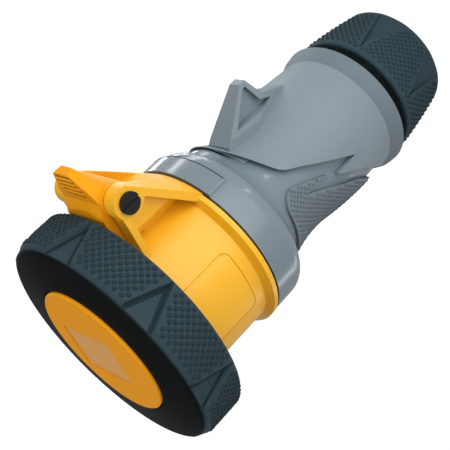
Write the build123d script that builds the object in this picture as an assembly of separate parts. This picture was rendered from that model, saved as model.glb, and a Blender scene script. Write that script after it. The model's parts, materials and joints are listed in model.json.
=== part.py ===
from build123d import *
import os
from math import asin, atan2, cos, degrees, radians, sin, sqrt

# Industrial cable coupler, 32 A with three contacts: grey handle, yellow socket housing, hinged lid
# with a locking ring, and a cable gland. Millimetres. The axis is Z, with the gland nut's cable end
# at z = 0 and the lid at the top. The lid's hinge and the handle's fin are towards +X.
# An angle round the axis is counted from +X towards -Y, so it runs clockwise seen from the lid.

# Lengths along the axis
nut_length = 33.4
cage_show = 5.2  # dark gland cage between the nut and the handle
handle_length = 101.4
collar_length = 54.0  # socket collar beyond the handle's seam
flange_width = 2.6
flange_slope = 1.9  # rise of the flange's front face towards the collar
ring_length = 23.6
ring_wall = 3.6  # front wall of the locking ring, at the disc
ring_dish = 1.8  # fall of the ring's front face towards its edge
lid_plate = 3.5  # thickness of the lid's flange
disc_rise = 1.2  # the lid's disc stands out of the ring by this
gasket_squash = 1.9  # room left for the gasket under the lid's flange

# Radii of the gland
nut_front_r = 32.0
nut_rear_r = 28.2
nut_middle_r = 30.4
nut_edge_r = 24.4  # flat that the nut stands on
cable_r = 13.5
pressure_ring_r = 13.9
nut_wall = 5.0
nut_facet_count = 6
nut_facet_first = 26.5
nut_facet_half = 7.8
nut_facet_depth = 1.9
cage_r = 30.0
cage_rib_count = 30
cage_rib_width = 1.6
cage_rib_height = 0.5
cage_thread_r = 24.6
cage_bore_r = 20.2
cage_spigot_r = 26.6
cage_spigot_length = 15.0
cage_tail_length = 20.0  # threaded tail inside the nut
seal_bore_r = 11.8

# Handle
rim_r = 33.3
rim_width = 5.0
rim_chamfer = 1.2
handle_wall = 2.9
grip_rear_r = 29.3
grip_r = 29.9
grip_length = 23.4  # from the rim to the widest place of the grip
waist_r = 26.9
waist_back = 40.0  # this and the next are distances behind the seam
flare_r = 28.2  # where the waist turns into the shoulder's flare
flare_back = 30.0
crown_step = 3.3  # below the shoulder, where the flare turns into it
crown_back = 18.5
shoulder_step = 0.3  # below the flange
shoulder_back = 12.0
cover_rear_r = 31.2
cover_r = 33.0
cover_waist_r = 29.3
cover_lip_r = 31.9
cover_front_back = 27.6
cover_rear_rise = 6.4
pad_thickness = 1.5
overmould_gap = 0.1

# Fin on the grip
fin_height = 16.2  # over the cover's widest place
fin_foot_height = 7.1
fin_from_seam = 29.2
fin_slope_length = 21.0
fin_top_length = 3.6
fin_back_length = 3.9
fin_tail_length = 15.3
fin_half_top = 3.0
fin_half_base = 7.0
fin_web = 3.4
fin_margin = 2.1

# Slide that locks the handle to the housing
slide_half_angle = 33.5
slide_width = 10.4
slide_rise = 1.5
slide_depth = 1.4
hook_half = 6.0
hook_width = 5.0

# Socket housing
collar_r = 36.8
collar_wall = 3.6
flange_step = 3.4  # from the collar to the flange's edge
tail_length = 13.0
tail_step = 2.4  # below the collar
tail_wall = 3.4
seal_thickness = 0.7
keyway_width = 5.0
keyway_depth = 1.8
web_rise = 7.0  # from the seam to the web that the terminal block is screwed to
web_thickness = 5.0
label_first = 62.7
label_last = 107.0
label_rise = 1.0
label_from_seam = 10.4
label_below_mouth = 9.0
label_corner = 3.0

# Bayonet
lug_angles = (75.0, 195.0, 315.0)
lug_step = 3.5  # room between the lugs and the ring
lug_thickness = 3.6
lug_half_angle = 9.0
lug_below_mouth = 8.6
release_angle = 30.0
cam_room = 4.4  # between the collar and the ring's cams
cam_thickness = 3.4

# Hinge
pin_out = 1.6  # outside the ring
pin_below_ring = 10.4
pin_r = 2.6
pin_head_r = 4.5
pin_head_thickness = 1.3
pin_slot_width = 1.1
boss_r = 6.9
ear_inner = 14.0
ear_outer = 20.4
ear_web_outer = 17.0
ear_root_out = 1.2  # outside the flange, where the web starts to lean inwards to the collar
beam_out = 0.9  # foot of the conical face that both ears share
beam_rise = 0.7
beam_reach = 17.7706  # radius of that face beyond the pin, at the top of the bosses
ear_root = 13.0  # the pocket's wall meets the collar here
arm_front_rise = 5.7  # above the pin
arm_wall = 3.1
pocket_depth = 8.8  # inside the collar
pocket_low = 2.0
pocket_corner_in = 3.1
pocket_corner_low = 7.5
pocket_round = 0.3  # wider than the boss
saddle_in = 8.5  # from the pin
saddle_low = 3.2
crotch_rise = 6.5  # from the seam
crotch_half = 6.0
slot_low = 8.2
clip_r = 4.4
clip_thickness = 0.8
knuckle_r = 7.0

# Lid
disc_r = 31.7
disc_chamfer = 0.7
lid_hollow_wall = 2.7
lid_hollow_depth = 5.0
field_x = -3.2
field_y = 4.5
field_width = 24.0
field_length = 32.0
field_depth = 0.5
field_corner = 1.5
arm_room = 1.6  # between the collar and the arm
arm_ring_room = 2.6
arm_half = 12.4
arm_rear_rise = 3.8  # these places on the arm and the tab are counted from the pin
arm_bend_in = 3.8
arm_bend_rise = 9.4
crease_out = 2.7
crease_rise = 7.2
tab_length = 17.9
tab_rear_rise = 5.2
tab_front_rise = 8.9
tab_tip_half = 6.0
tab_corner = 3.0
tab_ridge_count = 4
tab_ridge_pitch = 2.3
tab_ridge_r = 0.8
gasket_height = 3.2
gasket_inner_room = 0.1
gasket_overlap = 0.6

# Locking ring
ring_room = 9.7  # between the collar and the ring
ring_side = 6.7
ring_hole_room = 0.7  # round the lid's disc
ring_front_edge = 4.6
ring_rear_edge = 2.0
ring_facet_count = 8
ring_facet_first = 9.0
ring_facet_half = 7.7
ring_facet_apex = 1.8  # distance from the facet's tip to the ring's rear edge
ring_facet_depth = 1.8
ring_facet_lean = 22.0  # slant of the facet's walls
retainer_height = 1.5
retainer_width = 2.3
retainer_groove = 0.7

# Contacts
pin_circle_r = 13.0
plug_room = 6.2  # between the insert and the collar, for the plug's shroud
carrier_below_mouth = 4.0
block_room = 0.2
block_length = 14.0
contact_depth = 37.0
contact_recess = 3.0
contact_wall = 1.35
contact_rear = 5.0  # from the block's rear to the end of the sleeves
terminal_rise = 5.0
contacts = {"live_contact": (0.0, 3.05), "earth_contact": (120.0, 4.05), "neutral_contact": (240.0, 3.05)}
terminal_screw_r = 2.2
terminal_head_r = 3.0
block_cover_r = 24.0
block_cover_thickness = 4.0
wire_hole_r = 4.2
block_screw_angles = (60.0, 180.0, 300.0)
block_screw_r = 1.2
block_screw_head_r = 1.9
block_screw_head = 1.6
block_screw_reach = 4.0  # into the housing's web
block_screw_out = 1.9  # outside the insert

# Clearances
fit_gap = 0.15  # between fixed pieces
turn_gap = 0.3  # between pieces that move past each other
pin_gap = 0.05  # pin in its hole

# Radii that follow from the sizes above
bore_r = collar_r - collar_wall
flange_r = collar_r + flange_step
shoulder_r = flange_r - shoulder_step
crown_r = shoulder_r - crown_step
tail_r = collar_r - tail_step
tail_bore_r = tail_r - tail_wall
carrier_r = bore_r - plug_room
block_r = tail_bore_r - block_room
block_screw_circle_r = carrier_r + block_screw_out
ring_inner_r = collar_r + ring_room
ring_r = ring_inner_r + ring_side
ring_hole_r = disc_r + ring_hole_room
lug_r = ring_inner_r - lug_step
cam_r = collar_r + cam_room
lid_hollow_r = disc_r - lid_hollow_wall
gasket_inner_r = bore_r + gasket_inner_room
gasket_outer_r = collar_r + gasket_overlap
arm_inner_r = collar_r + arm_room
arm_outer_r = ring_inner_r - arm_ring_room
fin_top_x = cover_r + fin_height
fin_foot_x = cover_r + fin_foot_height

# Heights that follow from the sizes above
rim_z = nut_length + cage_show
seam_z = rim_z + handle_length
mouth_z = seam_z + collar_length
grip_z = rim_z + grip_length
waist_z = seam_z - waist_back
flare_z = seam_z - flare_back
crown_z = seam_z - crown_back
shoulder_z = seam_z - shoulder_back
cover_front = seam_z - cover_front_back
cover_rear = rim_z + cover_rear_rise
cover_widest = grip_z + 4
fin_front = seam_z - fin_from_seam
fin_top_front = fin_front - fin_slope_length
fin_top_rear = fin_top_front - fin_top_length
fin_foot_z = fin_top_rear - fin_back_length
fin_tail = fin_foot_z - fin_tail_length
flange_front_z = seam_z + flange_width
web_z = seam_z + web_rise
label_start = seam_z + label_from_seam
label_end = mouth_z - label_below_mouth
lug_z = mouth_z - lug_below_mouth
lid_under_z = mouth_z + gasket_squash
lid_top_z = lid_under_z + lid_plate
ring_wall_z = lid_top_z + 0.2
ring_front_z = ring_wall_z + ring_wall
ring_rear_z = ring_front_z - ring_length
disc_front_z = ring_front_z + disc_rise
carrier_front_z = mouth_z - carrier_below_mouth
block_z = web_z - block_length
sleeve_rear_z = block_z + contact_rear
terminal_z = sleeve_rear_z + terminal_rise

# Hinge, arm and tab, from the pin's place
pin_x = ring_r + pin_out
pin_z = ring_rear_z - pin_below_ring
beam_r = flange_r + beam_out
beam_z = seam_z + beam_rise
boss_top_z = pin_z + boss_r
ear_root_x = flange_r + ear_root_out
arm_front = pin_z + arm_front_rise
saddle_x = pin_x - saddle_in
saddle_z = pin_z - saddle_low
slot_z = pin_z - slot_low
crotch_z = seam_z + crotch_rise
pocket_foot = (collar_r - pocket_depth, seam_z - pocket_low)
pocket_corner = (pin_x - pocket_corner_in, pin_z - pocket_corner_low)
knuckle_half = ear_inner - turn_gap - 0.1
arm_rear = pin_z + arm_rear_rise
arm_bend_x = pin_x - arm_bend_in
arm_bend_z = pin_z + arm_bend_rise
crease_x = pin_x + crease_out
crease_z = pin_z + crease_rise
tab_tip_x = pin_x + tab_length
tab_tip_rear = pin_z + tab_rear_rise
tab_tip_front = pin_z + tab_front_rise


def polar(radius, angle):
    """Place of a point at a radius and an angle round the axis."""
    return radius * cos(radians(angle)), -radius * sin(radians(angle))


def at_angle(angle, solid):
    """The solid, drawn towards +X, turned to an angle round the axis."""
    return Rot(0, 0, -angle) * solid


def flat(points):
    """Face bounded by straight lines through the points."""
    return make_face(Polyline(*points, close=True))


def spun(points):
    """Ring turned from a section given as radius and height."""
    return revolve(Plane.XZ * flat(points), Axis.Z)


def rod(radius, low, high):
    return Pos(0, 0, low) * Cylinder(radius, high - low, align=(Align.CENTER, Align.CENTER, Align.MIN))


def tube(outer, inner, low, high):
    return rod(outer, low, high) - rod(inner, low, high)


def side_prism(outline, half_width):
    """Solid seen from the side as the outline, centred on the plane of the hinge and the fin."""
    return extrude(Plane.XZ * outline, half_width, both=True)


def block(x_low, x_high, y_low, y_high, z_low, z_high):
    size = (x_high - x_low, y_high - y_low, z_high - z_low)
    middle = ((x_high + x_low) / 2, (y_high + y_low) / 2, (z_high + z_low) / 2)
    return Pos(*middle) * Box(*size)


def sector(outer, inner, low, high, half_angle):
    """Piece of a tube, centred on +X."""
    far = outer + 5
    reach = far * sin(radians(half_angle)) / cos(radians(half_angle))
    wedge = Pos(0, 0, low) * extrude(flat([(0, 0), (far, -reach), (far, reach)]), high - low)
    return tube(outer, inner, low, high) & wedge


def circles(solid, radius, height):
    """Round edges of one radius at one height."""
    found = []
    for edge in solid.edges().filter_by(GeomType.CIRCLE):
        if abs(edge.radius - radius) < 0.01 and abs(edge.arc_center.Z - height) < 0.01:
            found.append(edge)
    return found


# Gland

def gland_nut():
    """Nut with six V-shaped facets that widen towards the cable."""
    bend = nut_rear_r - nut_edge_r
    rear = (nut_rear_r, bend)
    front = (nut_front_r, nut_length - 0.8)
    skin = [
        Line((cable_r, 0), (nut_edge_r, 0)),
        ThreePointArc((nut_edge_r, 0), (nut_edge_r + bend * 0.72, bend * 0.3), rear),
        ThreePointArc(rear, (nut_middle_r, (nut_length + bend) / 2), front),
        Polyline(front, (nut_front_r - 0.8, nut_length), (cage_thread_r + turn_gap, nut_length),
                 (cage_thread_r + turn_gap, nut_wall), (cable_r, nut_wall), (cable_r, 0)),
    ]
    nut = revolve(Plane.XZ * make_face(Curve() + skin), Axis.Z)
    facet = flat([(-nut_facet_half, -1), (nut_facet_half, -1), (0, nut_length - 4.5)])
    lean = degrees(atan2(nut_front_r - nut_rear_r, nut_length))
    cutter = extrude(Plane.YZ * facet, nut_front_r)
    cutter = Pos(nut_rear_r - nut_facet_depth, 0, 0) * Rot(0, lean, 0) * cutter
    for index in range(nut_facet_count):
        nut -= at_angle(nut_facet_first + index * 360 / nut_facet_count, cutter)
    return nut


def gland_ring():
    """Loose pressure ring between the nut's end wall and the seal."""
    low = nut_wall + 0.2
    high = low + 6.8
    ring = tube(cage_bore_r - turn_gap, pressure_ring_r, low, high)
    return ring + tube(cage_thread_r - 0.4, pressure_ring_r, low, low + 3)


def gland_seal():
    """Rubber bush that is squeezed on to the cable."""
    low = nut_wall + 7.3
    high = low + 17.7
    return spun([(seal_bore_r + 2, low), (cage_bore_r - fit_gap, low), (cage_bore_r - fit_gap, high - 4),
                 (cage_bore_r - 3, high), (seal_bore_r, high), (seal_bore_r, low + 3)])


def gland_cage():
    """Dark body of the gland: threaded tail, ribbed collar and spigot into the handle."""
    tail_low = nut_length + 0.6 - cage_tail_length
    spigot_high = rim_z + cage_spigot_length
    cage = rod(cage_thread_r, tail_low, rim_z) + rod(cage_r, nut_length + 0.6, rim_z - seal_thickness)
    cage += rod(cage_spigot_r, rim_z - seal_thickness, spigot_high)
    rib = block(cage_r - 0.5, cage_r + cage_rib_height, -cage_rib_width / 2, cage_rib_width / 2,
                nut_length + 0.6, rim_z - seal_thickness)
    for index in range(cage_rib_count):
        cage += at_angle(index * 360 / cage_rib_count, rib)
    return cage - rod(cage_bore_r, tail_low - 1, spigot_high + 1)


def cage_seal():
    """Flat ring that seals the cage against the handle's rim."""
    return tube(cage_r + 0.9, cage_spigot_r + fit_gap, rim_z - seal_thickness, rim_z)


# Handle

def handle_line(extra):
    """Outer line of the handle from its rear to the seam, moved outwards by extra."""
    rear = (grip_rear_r + extra, rim_z + 2)
    grip = (grip_r + extra, grip_z)
    waist = (waist_r + 0.3 + extra, waist_z - 10)
    flare = (flare_r + extra, flare_z)
    crown = (crown_r + extra, crown_z)
    shoulder = (shoulder_r + extra, shoulder_z)
    return rear, [
        Line(rear, grip),
        ThreePointArc(grip, (grip_r - 0.9 + extra, grip_z + 15), waist),
        ThreePointArc(waist, (waist_r + extra, waist_z), flare),
        ThreePointArc(flare, (flare_r + 2.8 + extra, flare_z + 6.6), crown),
        ThreePointArc(crown, (crown_r + 2.4 + extra, crown_z + 2.7), shoulder),
        Line(shoulder, (shoulder_r + extra, seam_z - seal_thickness)),
    ]


def handle_core(extra):
    """Solid of the handle's outside without its rim."""
    rear, line = handle_line(extra)
    front = seam_z - seal_thickness
    line.append(Polyline((shoulder_r + extra, front), (0, front), (0, rear[1]), rear))
    return revolve(Plane.XZ * make_face(Curve() + line), Axis.Z)


def handle_cavity():
    """Room for the wires, from the gland to the contacts."""
    bore = cage_spigot_r + fit_gap
    waist = waist_r - handle_wall
    wide = tail_r + 0.4
    return spun([(0, rim_z - 1), (bore, rim_z - 1), (bore, rim_z + 20), (waist, rim_z + 38),
                 (waist, flare_z - 2), (flare_r + 1.3, crown_z - 2.5), (wide, shoulder_z - 2), (wide, seam_z),
                 (0, seam_z)])


def handle_shell():
    """Hard grey shell with its thick rear rim and a seat for the locking slide."""
    shell = handle_core(0)
    shell += spun([(0, rim_z), (rim_r - rim_chamfer, rim_z), (rim_r, rim_z + rim_chamfer),
                   (rim_r, rim_z + rim_width - 0.6), (rim_r - 0.6, rim_z + rim_width), (0, rim_z + rim_width)])
    shell -= handle_cavity()
    seat_low = seam_z - seal_thickness - slide_width - 0.2
    seat = sector(shoulder_r + 2, shoulder_r - slide_depth, seat_low, seam_z, slide_half_angle + 0.4)
    window = block(tail_r - 2, shoulder_r, -hook_half - 0.3, hook_half + 0.3,
                   slide_middle() - hook_width / 2 - 0.3, slide_middle() + hook_width / 2 + 0.3)
    return shell - seat - window


def slide_middle():
    return seam_z - seal_thickness - slide_width / 2


def locking_slide():
    """Raised glossy segment whose hook locks the housing's tail in the handle."""
    low = seam_z - seal_thickness - slide_width
    outer = shoulder_r + slide_rise
    slide = sector(outer, shoulder_r - slide_depth + fit_gap, low, seam_z - seal_thickness, slide_half_angle)
    slide = fillet(circles(slide, outer, low), 0.7)
    hook = block(tail_r - 1.8, shoulder_r, -hook_half, hook_half,
                 slide_middle() - hook_width / 2, slide_middle() + hook_width / 2)
    return slide + hook


def cover_outline():
    """Side view of the matte cover: front edge, arrow point and the edge beside the back pad."""
    lip = (cover_lip_r - 0.4, cover_front)
    turn = (20.5, cover_front - 6.8)
    flank = (15.5, cover_front - 12.8)
    tip = (1.9, cover_front - 41.7)
    edge = [
        Line(lip, turn),
        ThreePointArc(turn, (17.7, cover_front - 9.2), flank),
        Polyline(flank, tip, (-0.1, cover_front - 30.1), (-8.8, rim_z + 28.1), (-19, rim_z + 15.9),
                 (-28, cover_rear), (fin_top_x, cover_rear), (fin_top_x, cover_front), lip),
    ]
    return make_face(Curve() + edge)


def fin():
    """V-shaped fin that points away from the lid, with a blind pocket in each side."""
    root = waist_r
    side = flat([(root, fin_front), (cover_lip_r + 0.4, fin_front), (fin_top_x, fin_top_front),
                 (fin_top_x, fin_top_rear), (fin_foot_x, fin_foot_z), (cover_r - 0.2, fin_tail), (root, fin_tail)])
    body = side_prism(side, fin_half_base + 2)
    across = [(root, -fin_half_base), (cover_lip_r, -fin_half_base), (fin_top_x, -fin_half_top),
              (fin_top_x, fin_half_top), (cover_lip_r, fin_half_base), (root, fin_half_base)]
    body &= Pos(0, 0, fin_tail) * extrude(flat(across), fin_front - fin_tail)
    plan = [(-fin_half_base + 0.6, fin_front), (fin_half_base - 0.6, fin_front), (fin_half_base, fin_top_front),
            (fin_half_base - 2, fin_foot_z), (1.4, fin_tail), (-1.4, fin_tail), (2 - fin_half_base, fin_foot_z),
            (-fin_half_base, fin_top_front)]
    body &= extrude(Plane.YZ * flat(plan), fin_top_x + 1)
    pocket = flat([(cover_r + 2.3, fin_front - 8.2), (fin_top_x - fin_margin, fin_top_front - 0.6),
                   (fin_top_x - fin_margin, fin_top_rear + 1.6), (fin_foot_x - 1.4, fin_foot_z + 2.6),
                   (cover_r + 2, fin_foot_z - 3.9), (cover_r + 1.3, fin_foot_z + 1.7)])
    cutter = side_prism(pocket, 20) - side_prism(pocket, fin_web / 2)
    return body - cutter


def grip_cover():
    """Soft matte over-moulding of the top and sides, with the fin and a flared front lip."""
    rear = (cover_rear_r, cover_rear)
    widest = (cover_r, cover_widest)
    waist = (cover_waist_r, waist_z - 6)
    lip = (cover_lip_r, cover_front)
    line = [
        Line(rear, widest),
        ThreePointArc(widest, (cover_r - 1.2, cover_widest + 13), waist),
        ThreePointArc(waist, (cover_waist_r + 0.5, waist_z + 4), lip),
        Polyline(lip, (0, cover_front), (0, cover_rear), rear),
    ]
    cover = revolve(Plane.XZ * make_face(Curve() + line), Axis.Z)
    cover &= side_prism(cover_outline(), ring_r)
    cover += fin()
    return cover - handle_core(overmould_gap)


def grip_pad():
    """Textured pad along the handle's back, with a pointed front end on each side and a pointed rear end."""
    back = (5.9 - shoulder_r, seam_z - 25.5)
    turn = (3.5, seam_z - 26.8)
    flank = (9.9, seam_z - 35)
    edge = [
        Line(back, turn),
        ThreePointArc(turn, (8.4, seam_z - 29.8), flank),
        Polyline(flank, (2.6, seam_z - 53), (2.0, seam_z - 41), (-4.2, seam_z - 53.1), (-12.4, rim_z + 32.7),
                 (-23.6, rim_z + 19.4), (back[0], rim_z + 10.4), back),
    ]
    outline = make_face(Curve() + edge)
    return (handle_core(pad_thickness) & side_prism(outline, ring_r)) - handle_core(overmould_gap)


# Socket housing

def touch(point, centre, radius):
    """Place where a line from the point touches the far side of a circle."""
    across = centre[0] - point[0]
    along = centre[1] - point[1]
    far = sqrt(across ** 2 + along ** 2)
    bearing = atan2(along, across) - asin(radius / far)
    length = sqrt(far ** 2 - radius ** 2)
    return point[0] + length * cos(bearing), point[1] + length * sin(bearing)


def hinge_block():
    """Both hinge ears: one conical beam up from the flange, bosses round the pin and arms to the collar."""
    foot = (beam_r, beam_z)
    inside = collar_r - 8
    beam_slope = (pin_x + beam_reach - beam_r) / (boss_top_z - beam_z)
    view = flat([(inside, seam_z), (beam_r - 0.6, seam_z), foot, touch(foot, (pin_x, pin_z), boss_r), (pin_x, pin_z),
                 (pin_x, arm_front), (inside, arm_front)])
    body = side_prism(view + Pos(pin_x, pin_z) * Circle(boss_r), ear_outer)
    return body & spun([(0, seam_z), (beam_r - beam_slope * (beam_z - seam_z), seam_z),
                        (pin_x + beam_reach, boss_top_z), (0, boss_top_z)])


def ear_pocket(side):
    """Hollow in the outside of an ear, between the beam, the boss, the arm and the collar."""
    view = flat([pocket_foot, pocket_corner, (pin_x, pin_z), (pin_x - boss_r - pocket_round, arm_front - arm_wall),
                 (pocket_foot[0], arm_front - arm_wall)])
    view -= Pos(pin_x, pin_z) * Circle(boss_r + pocket_round)
    lean = (ear_web_outer - ear_root) / (ear_root_x - collar_r)
    root = ear_root - lean * (collar_r - pocket_foot[0])
    plan = flat([(pin_x, side * ear_web_outer), (ear_root_x, side * ear_web_outer), (pocket_foot[0], side * root),
                 (pocket_foot[0], side * 30), (pin_x, side * 30)])
    low = pocket_foot[1]
    return side_prism(view, 30) & (Pos(0, 0, low) * extrude(plan, mouth_z - low))


def hinge_housing():
    """Hinge block with its pockets and with the slot in which the lid's knuckle and tab turn."""
    body = hinge_block() - ear_pocket(1) - ear_pocket(-1)
    slot = flat([(-ear_inner, mouth_z), (-ear_inner, slot_z), (-crotch_half, crotch_z),
                 (crotch_half, crotch_z), (ear_inner, slot_z), (ear_inner, mouth_z)])
    slot = Pos(saddle_x, 0, 0) * extrude(Plane.YZ * slot, 30)
    room = block(collar_r - 8, saddle_x + 1, -ear_inner, ear_inner, saddle_z, mouth_z)
    room -= rod(collar_r + 0.4, saddle_z - 1, mouth_z + 1)
    pin_hole = Pos(pin_x, 0, pin_z) * Rot(90, 0, 0) * Cylinder(pin_r + pin_gap, 3 * ear_outer)
    return body - slot - room - pin_hole


def label_pad():
    """Raised bare field on the collar's side."""
    middle = (label_first + label_last) / 2
    width = 2 * (collar_r + label_rise) * sin(radians((label_last - label_first) / 2))
    field = Plane.YZ * Pos(0, (label_start + label_end) / 2) * RectangleRounded(
        width, label_end - label_start, label_corner)
    return at_angle(middle, extrude(field, ring_r) & rod(collar_r + label_rise, label_start, label_end))


def socket_housing():
    """Yellow housing: collar, flange, hinge block, bayonet lugs and the tail inside the handle."""
    housing = rod(collar_r, seam_z, mouth_z) + rod(tail_r, seam_z - tail_length, seam_z)
    rim = flange_r - 0.5
    housing += spun([(0, seam_z), (rim, seam_z), (flange_r, seam_z + 0.5), (flange_r, flange_front_z),
                     (collar_r, flange_front_z + flange_slope), (0, flange_front_z + flange_slope)])
    housing += hinge_housing() + label_pad()
    lug = sector(lug_r, collar_r - 1, lug_z, lug_z + lug_thickness, lug_half_angle)
    for angle in lug_angles:
        housing += at_angle(angle, lug)
    housing -= rod(bore_r, web_z + web_thickness, mouth_z + 1)
    housing -= rod(carrier_r + fit_gap, web_z - 1, web_z + web_thickness + 1)
    housing -= rod(tail_bore_r, seam_z - tail_length - 1, web_z)
    housing -= block(-bore_r - keyway_depth, -bore_r + 2, -keyway_width / 2, keyway_width / 2,
                     web_z + web_thickness + 3, mouth_z + 1)
    housing -= block(tail_r - 1.8 - fit_gap, tail_r + 1, -hook_half - 0.3, hook_half + 0.3,
                     slide_middle() - hook_width / 2 - 0.3, slide_middle() + hook_width / 2 + 0.3)
    for angle in block_screw_angles:
        x, y = polar(block_screw_circle_r, angle)
        housing -= Pos(x, y, 0) * rod(block_screw_r + pin_gap, web_z - 1, web_z + block_screw_reach + 0.4)
    return housing


def housing_seal():
    """Dark ring in the seam between the handle and the flange."""
    return tube(shoulder_r - 0.2, tail_r + fit_gap, seam_z - seal_thickness, seam_z)


# Hinge

def hinge_pin():
    """Slotted pin through both ears and the lid's knuckle."""
    length = 2 * ear_outer + clip_thickness + 1.6
    shank = Pos(0, -ear_outer, 0) * Rot(-90, 0, 0) * Cylinder(pin_r, length,
                                                            align=(Align.CENTER, Align.CENTER, Align.MIN))
    head = Pos(0, -ear_outer, 0) * Rot(90, 0, 0) * Cylinder(pin_head_r, pin_head_thickness,
                                                           align=(Align.CENTER, Align.CENTER, Align.MIN))
    slot_y = -ear_outer - pin_head_thickness
    slot = block(-pin_slot_width / 2, pin_slot_width / 2, slot_y - 1, slot_y + 0.8, -pin_head_r, pin_head_r)
    return Pos(pin_x, 0, pin_z) * (shank + head - slot)


def pin_clip():
    """Push-on washer that keeps the pin in."""
    washer = Cylinder(clip_r, clip_thickness) - Cylinder(pin_r + 0.02, clip_thickness)
    return Pos(pin_x, ear_outer + clip_thickness / 2 + 0.05, pin_z) * Rot(90, 0, 0) * washer


# Contacts

def contact(angle, bore):
    """Brass sleeve with a bored socket and a terminal behind it."""
    x, y = polar(pin_circle_r, angle)
    top = carrier_front_z - contact_recess
    outer = bore + contact_wall
    sleeve = rod(outer, sleeve_rear_z, top) - rod(bore, top - contact_depth, top)
    hole = Pos(0, 0, terminal_z) * Rot(0, 90, 0) * Cylinder(terminal_screw_r + 0.03, outer + 2,
                                                         align=(Align.CENTER, Align.CENTER, Align.MIN))
    return Pos(x, y, 0) * (sleeve - at_angle(angle, hole))


def terminal_screws():
    """Three screws that clamp the wires, each radial."""
    screws = []
    for angle, bore in contacts.values():
        low = pin_circle_r + 1
        head_low = pin_circle_r + bore + contact_wall + 0.3
        shank = Pos(low, 0, 0) * Rot(0, 90, 0) * Cylinder(terminal_screw_r, head_low - low + 0.5,
                                                         align=(Align.CENTER, Align.CENTER, Align.MIN))
        head = Pos(head_low, 0, 0) * Rot(0, 90, 0) * Cylinder(terminal_head_r, 2.4,
                                                             align=(Align.CENTER, Align.CENTER, Align.MIN))
        slot = block(head_low + 1.6, head_low + 4, -0.5, 0.5, -4, 4)
        screws.append(Pos(0, 0, terminal_z) * at_angle(angle, shank + head - slot))
    return Compound(children=screws)


def contact_carrier():
    """Insulating insert that holds the three sleeves in the collar."""
    body = rod(carrier_r, web_z, carrier_front_z)
    for angle, bore in contacts.values():
        x, y = polar(pin_circle_r, angle)
        body -= Pos(x, y, 0) * rod(bore + contact_wall + fit_gap, web_z - 1, carrier_front_z + 1)
    return body


def terminal_block():
    """Insulating block behind the insert, round the sleeves' terminals."""
    body = rod(block_r, block_z, web_z - 0.05)
    for angle, bore in contacts.values():
        x, y = polar(pin_circle_r, angle)
        body -= Pos(x, y, 0) * rod(bore + contact_wall + fit_gap, block_z - 1, web_z + 1)
        access = Pos(pin_circle_r, 0, terminal_z) * Rot(0, 90, 0) * Cylinder(
            terminal_head_r + 0.3, 25, align=(Align.CENTER, Align.CENTER, Align.MIN))
        body -= at_angle(angle, access)
    for angle in block_screw_angles:
        x, y = polar(block_screw_circle_r, angle)
        body -= Pos(x, y, 0) * rod(block_screw_r + 0.1, block_z - 1, web_z + 1)
    return body


def carrier_cover():
    """Plate behind the terminal block, with a hole for each wire."""
    high = block_z - 0.05
    plate = rod(block_cover_r, high - block_cover_thickness, high)
    for angle, bore in contacts.values():
        x, y = polar(pin_circle_r, angle)
        plate -= Pos(x, y, 0) * rod(wire_hole_r, high - block_cover_thickness - 1, high + 1)
    return plate


def carrier_screws():
    """Screws that hold the terminal block against the housing's web."""
    screws = []
    for angle in block_screw_angles:
        x, y = polar(block_screw_circle_r, angle)
        screw = rod(block_screw_r, block_z - 0.5, web_z + block_screw_reach)
        screw += rod(block_screw_head_r, block_z - block_screw_head, block_z)
        slot = block(-4, 4, -0.45, 0.45, block_z - block_screw_head - 1, block_z - block_screw_head + 0.8)
        screws.append(Pos(x, y, 0) * (screw - slot))
    return Compound(children=screws)


# Lid

def lid_arm():
    """Arm under the ring from the flange to the knuckle, and the thumb tab beyond the pin."""
    knuckle_side = (pin_x + 7.2, pin_z + 1.3)
    view = flat([(arm_inner_r - 2, arm_rear), (pin_x, arm_rear), (pin_x, pin_z), knuckle_side,
                 (tab_tip_x, tab_tip_rear), (tab_tip_x - 0.9, tab_tip_front), (crease_x, crease_z),
                 (arm_bend_x, arm_bend_z), (arm_inner_r - 2, arm_bend_z)])
    waist_x = pin_x + 12
    waist_half = 8.0
    inside = arm_inner_r - 8.4
    corner_x = tab_tip_x - tab_corner
    flank = [(crease_x, arm_half), (pin_x + 7.3, 11.0), (waist_x, waist_half)]
    tip = [(corner_x, tab_tip_half + 0.6), (tab_tip_x - 0.8, tab_tip_half - 1.2), (tab_tip_x, tab_tip_half - 3)]
    edge = []
    for side in (1, -1):
        outer = [(x, side * y) for x, y in flank]
        end = [(x, side * y) for x, y in tip]
        edge += [Line((inside, side * arm_half), outer[0]), ThreePointArc(*outer), Line(outer[2], end[0]),
                 ThreePointArc(*end)]
    edge += [Line((inside, arm_half), (inside, -arm_half)),
             Line((tab_tip_x, tab_tip_half - 3), (tab_tip_x, 3 - tab_tip_half))]
    plan = Pos(0, 0, pin_z - 2) * extrude(make_face(Curve() + edge), 20)
    arm = side_prism(view, arm_half) & plan
    arm -= rod(arm_inner_r, pin_z - 10, pin_z + 20)
    for index in range(tab_ridge_count):
        x = tab_tip_x - 3.4 - index * tab_ridge_pitch
        z = tab_tip_front - (tab_tip_x - 0.9 - x) * (tab_tip_front - crease_z) / (tab_tip_x - 0.9 - crease_x)
        half = tab_tip_half - 0.6 + index * 0.5
        arm += Pos(x, 0, z - tab_ridge_r * 0.3) * Rot(90, 0, 0) * Cylinder(tab_ridge_r, 2 * half)
    return arm


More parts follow.
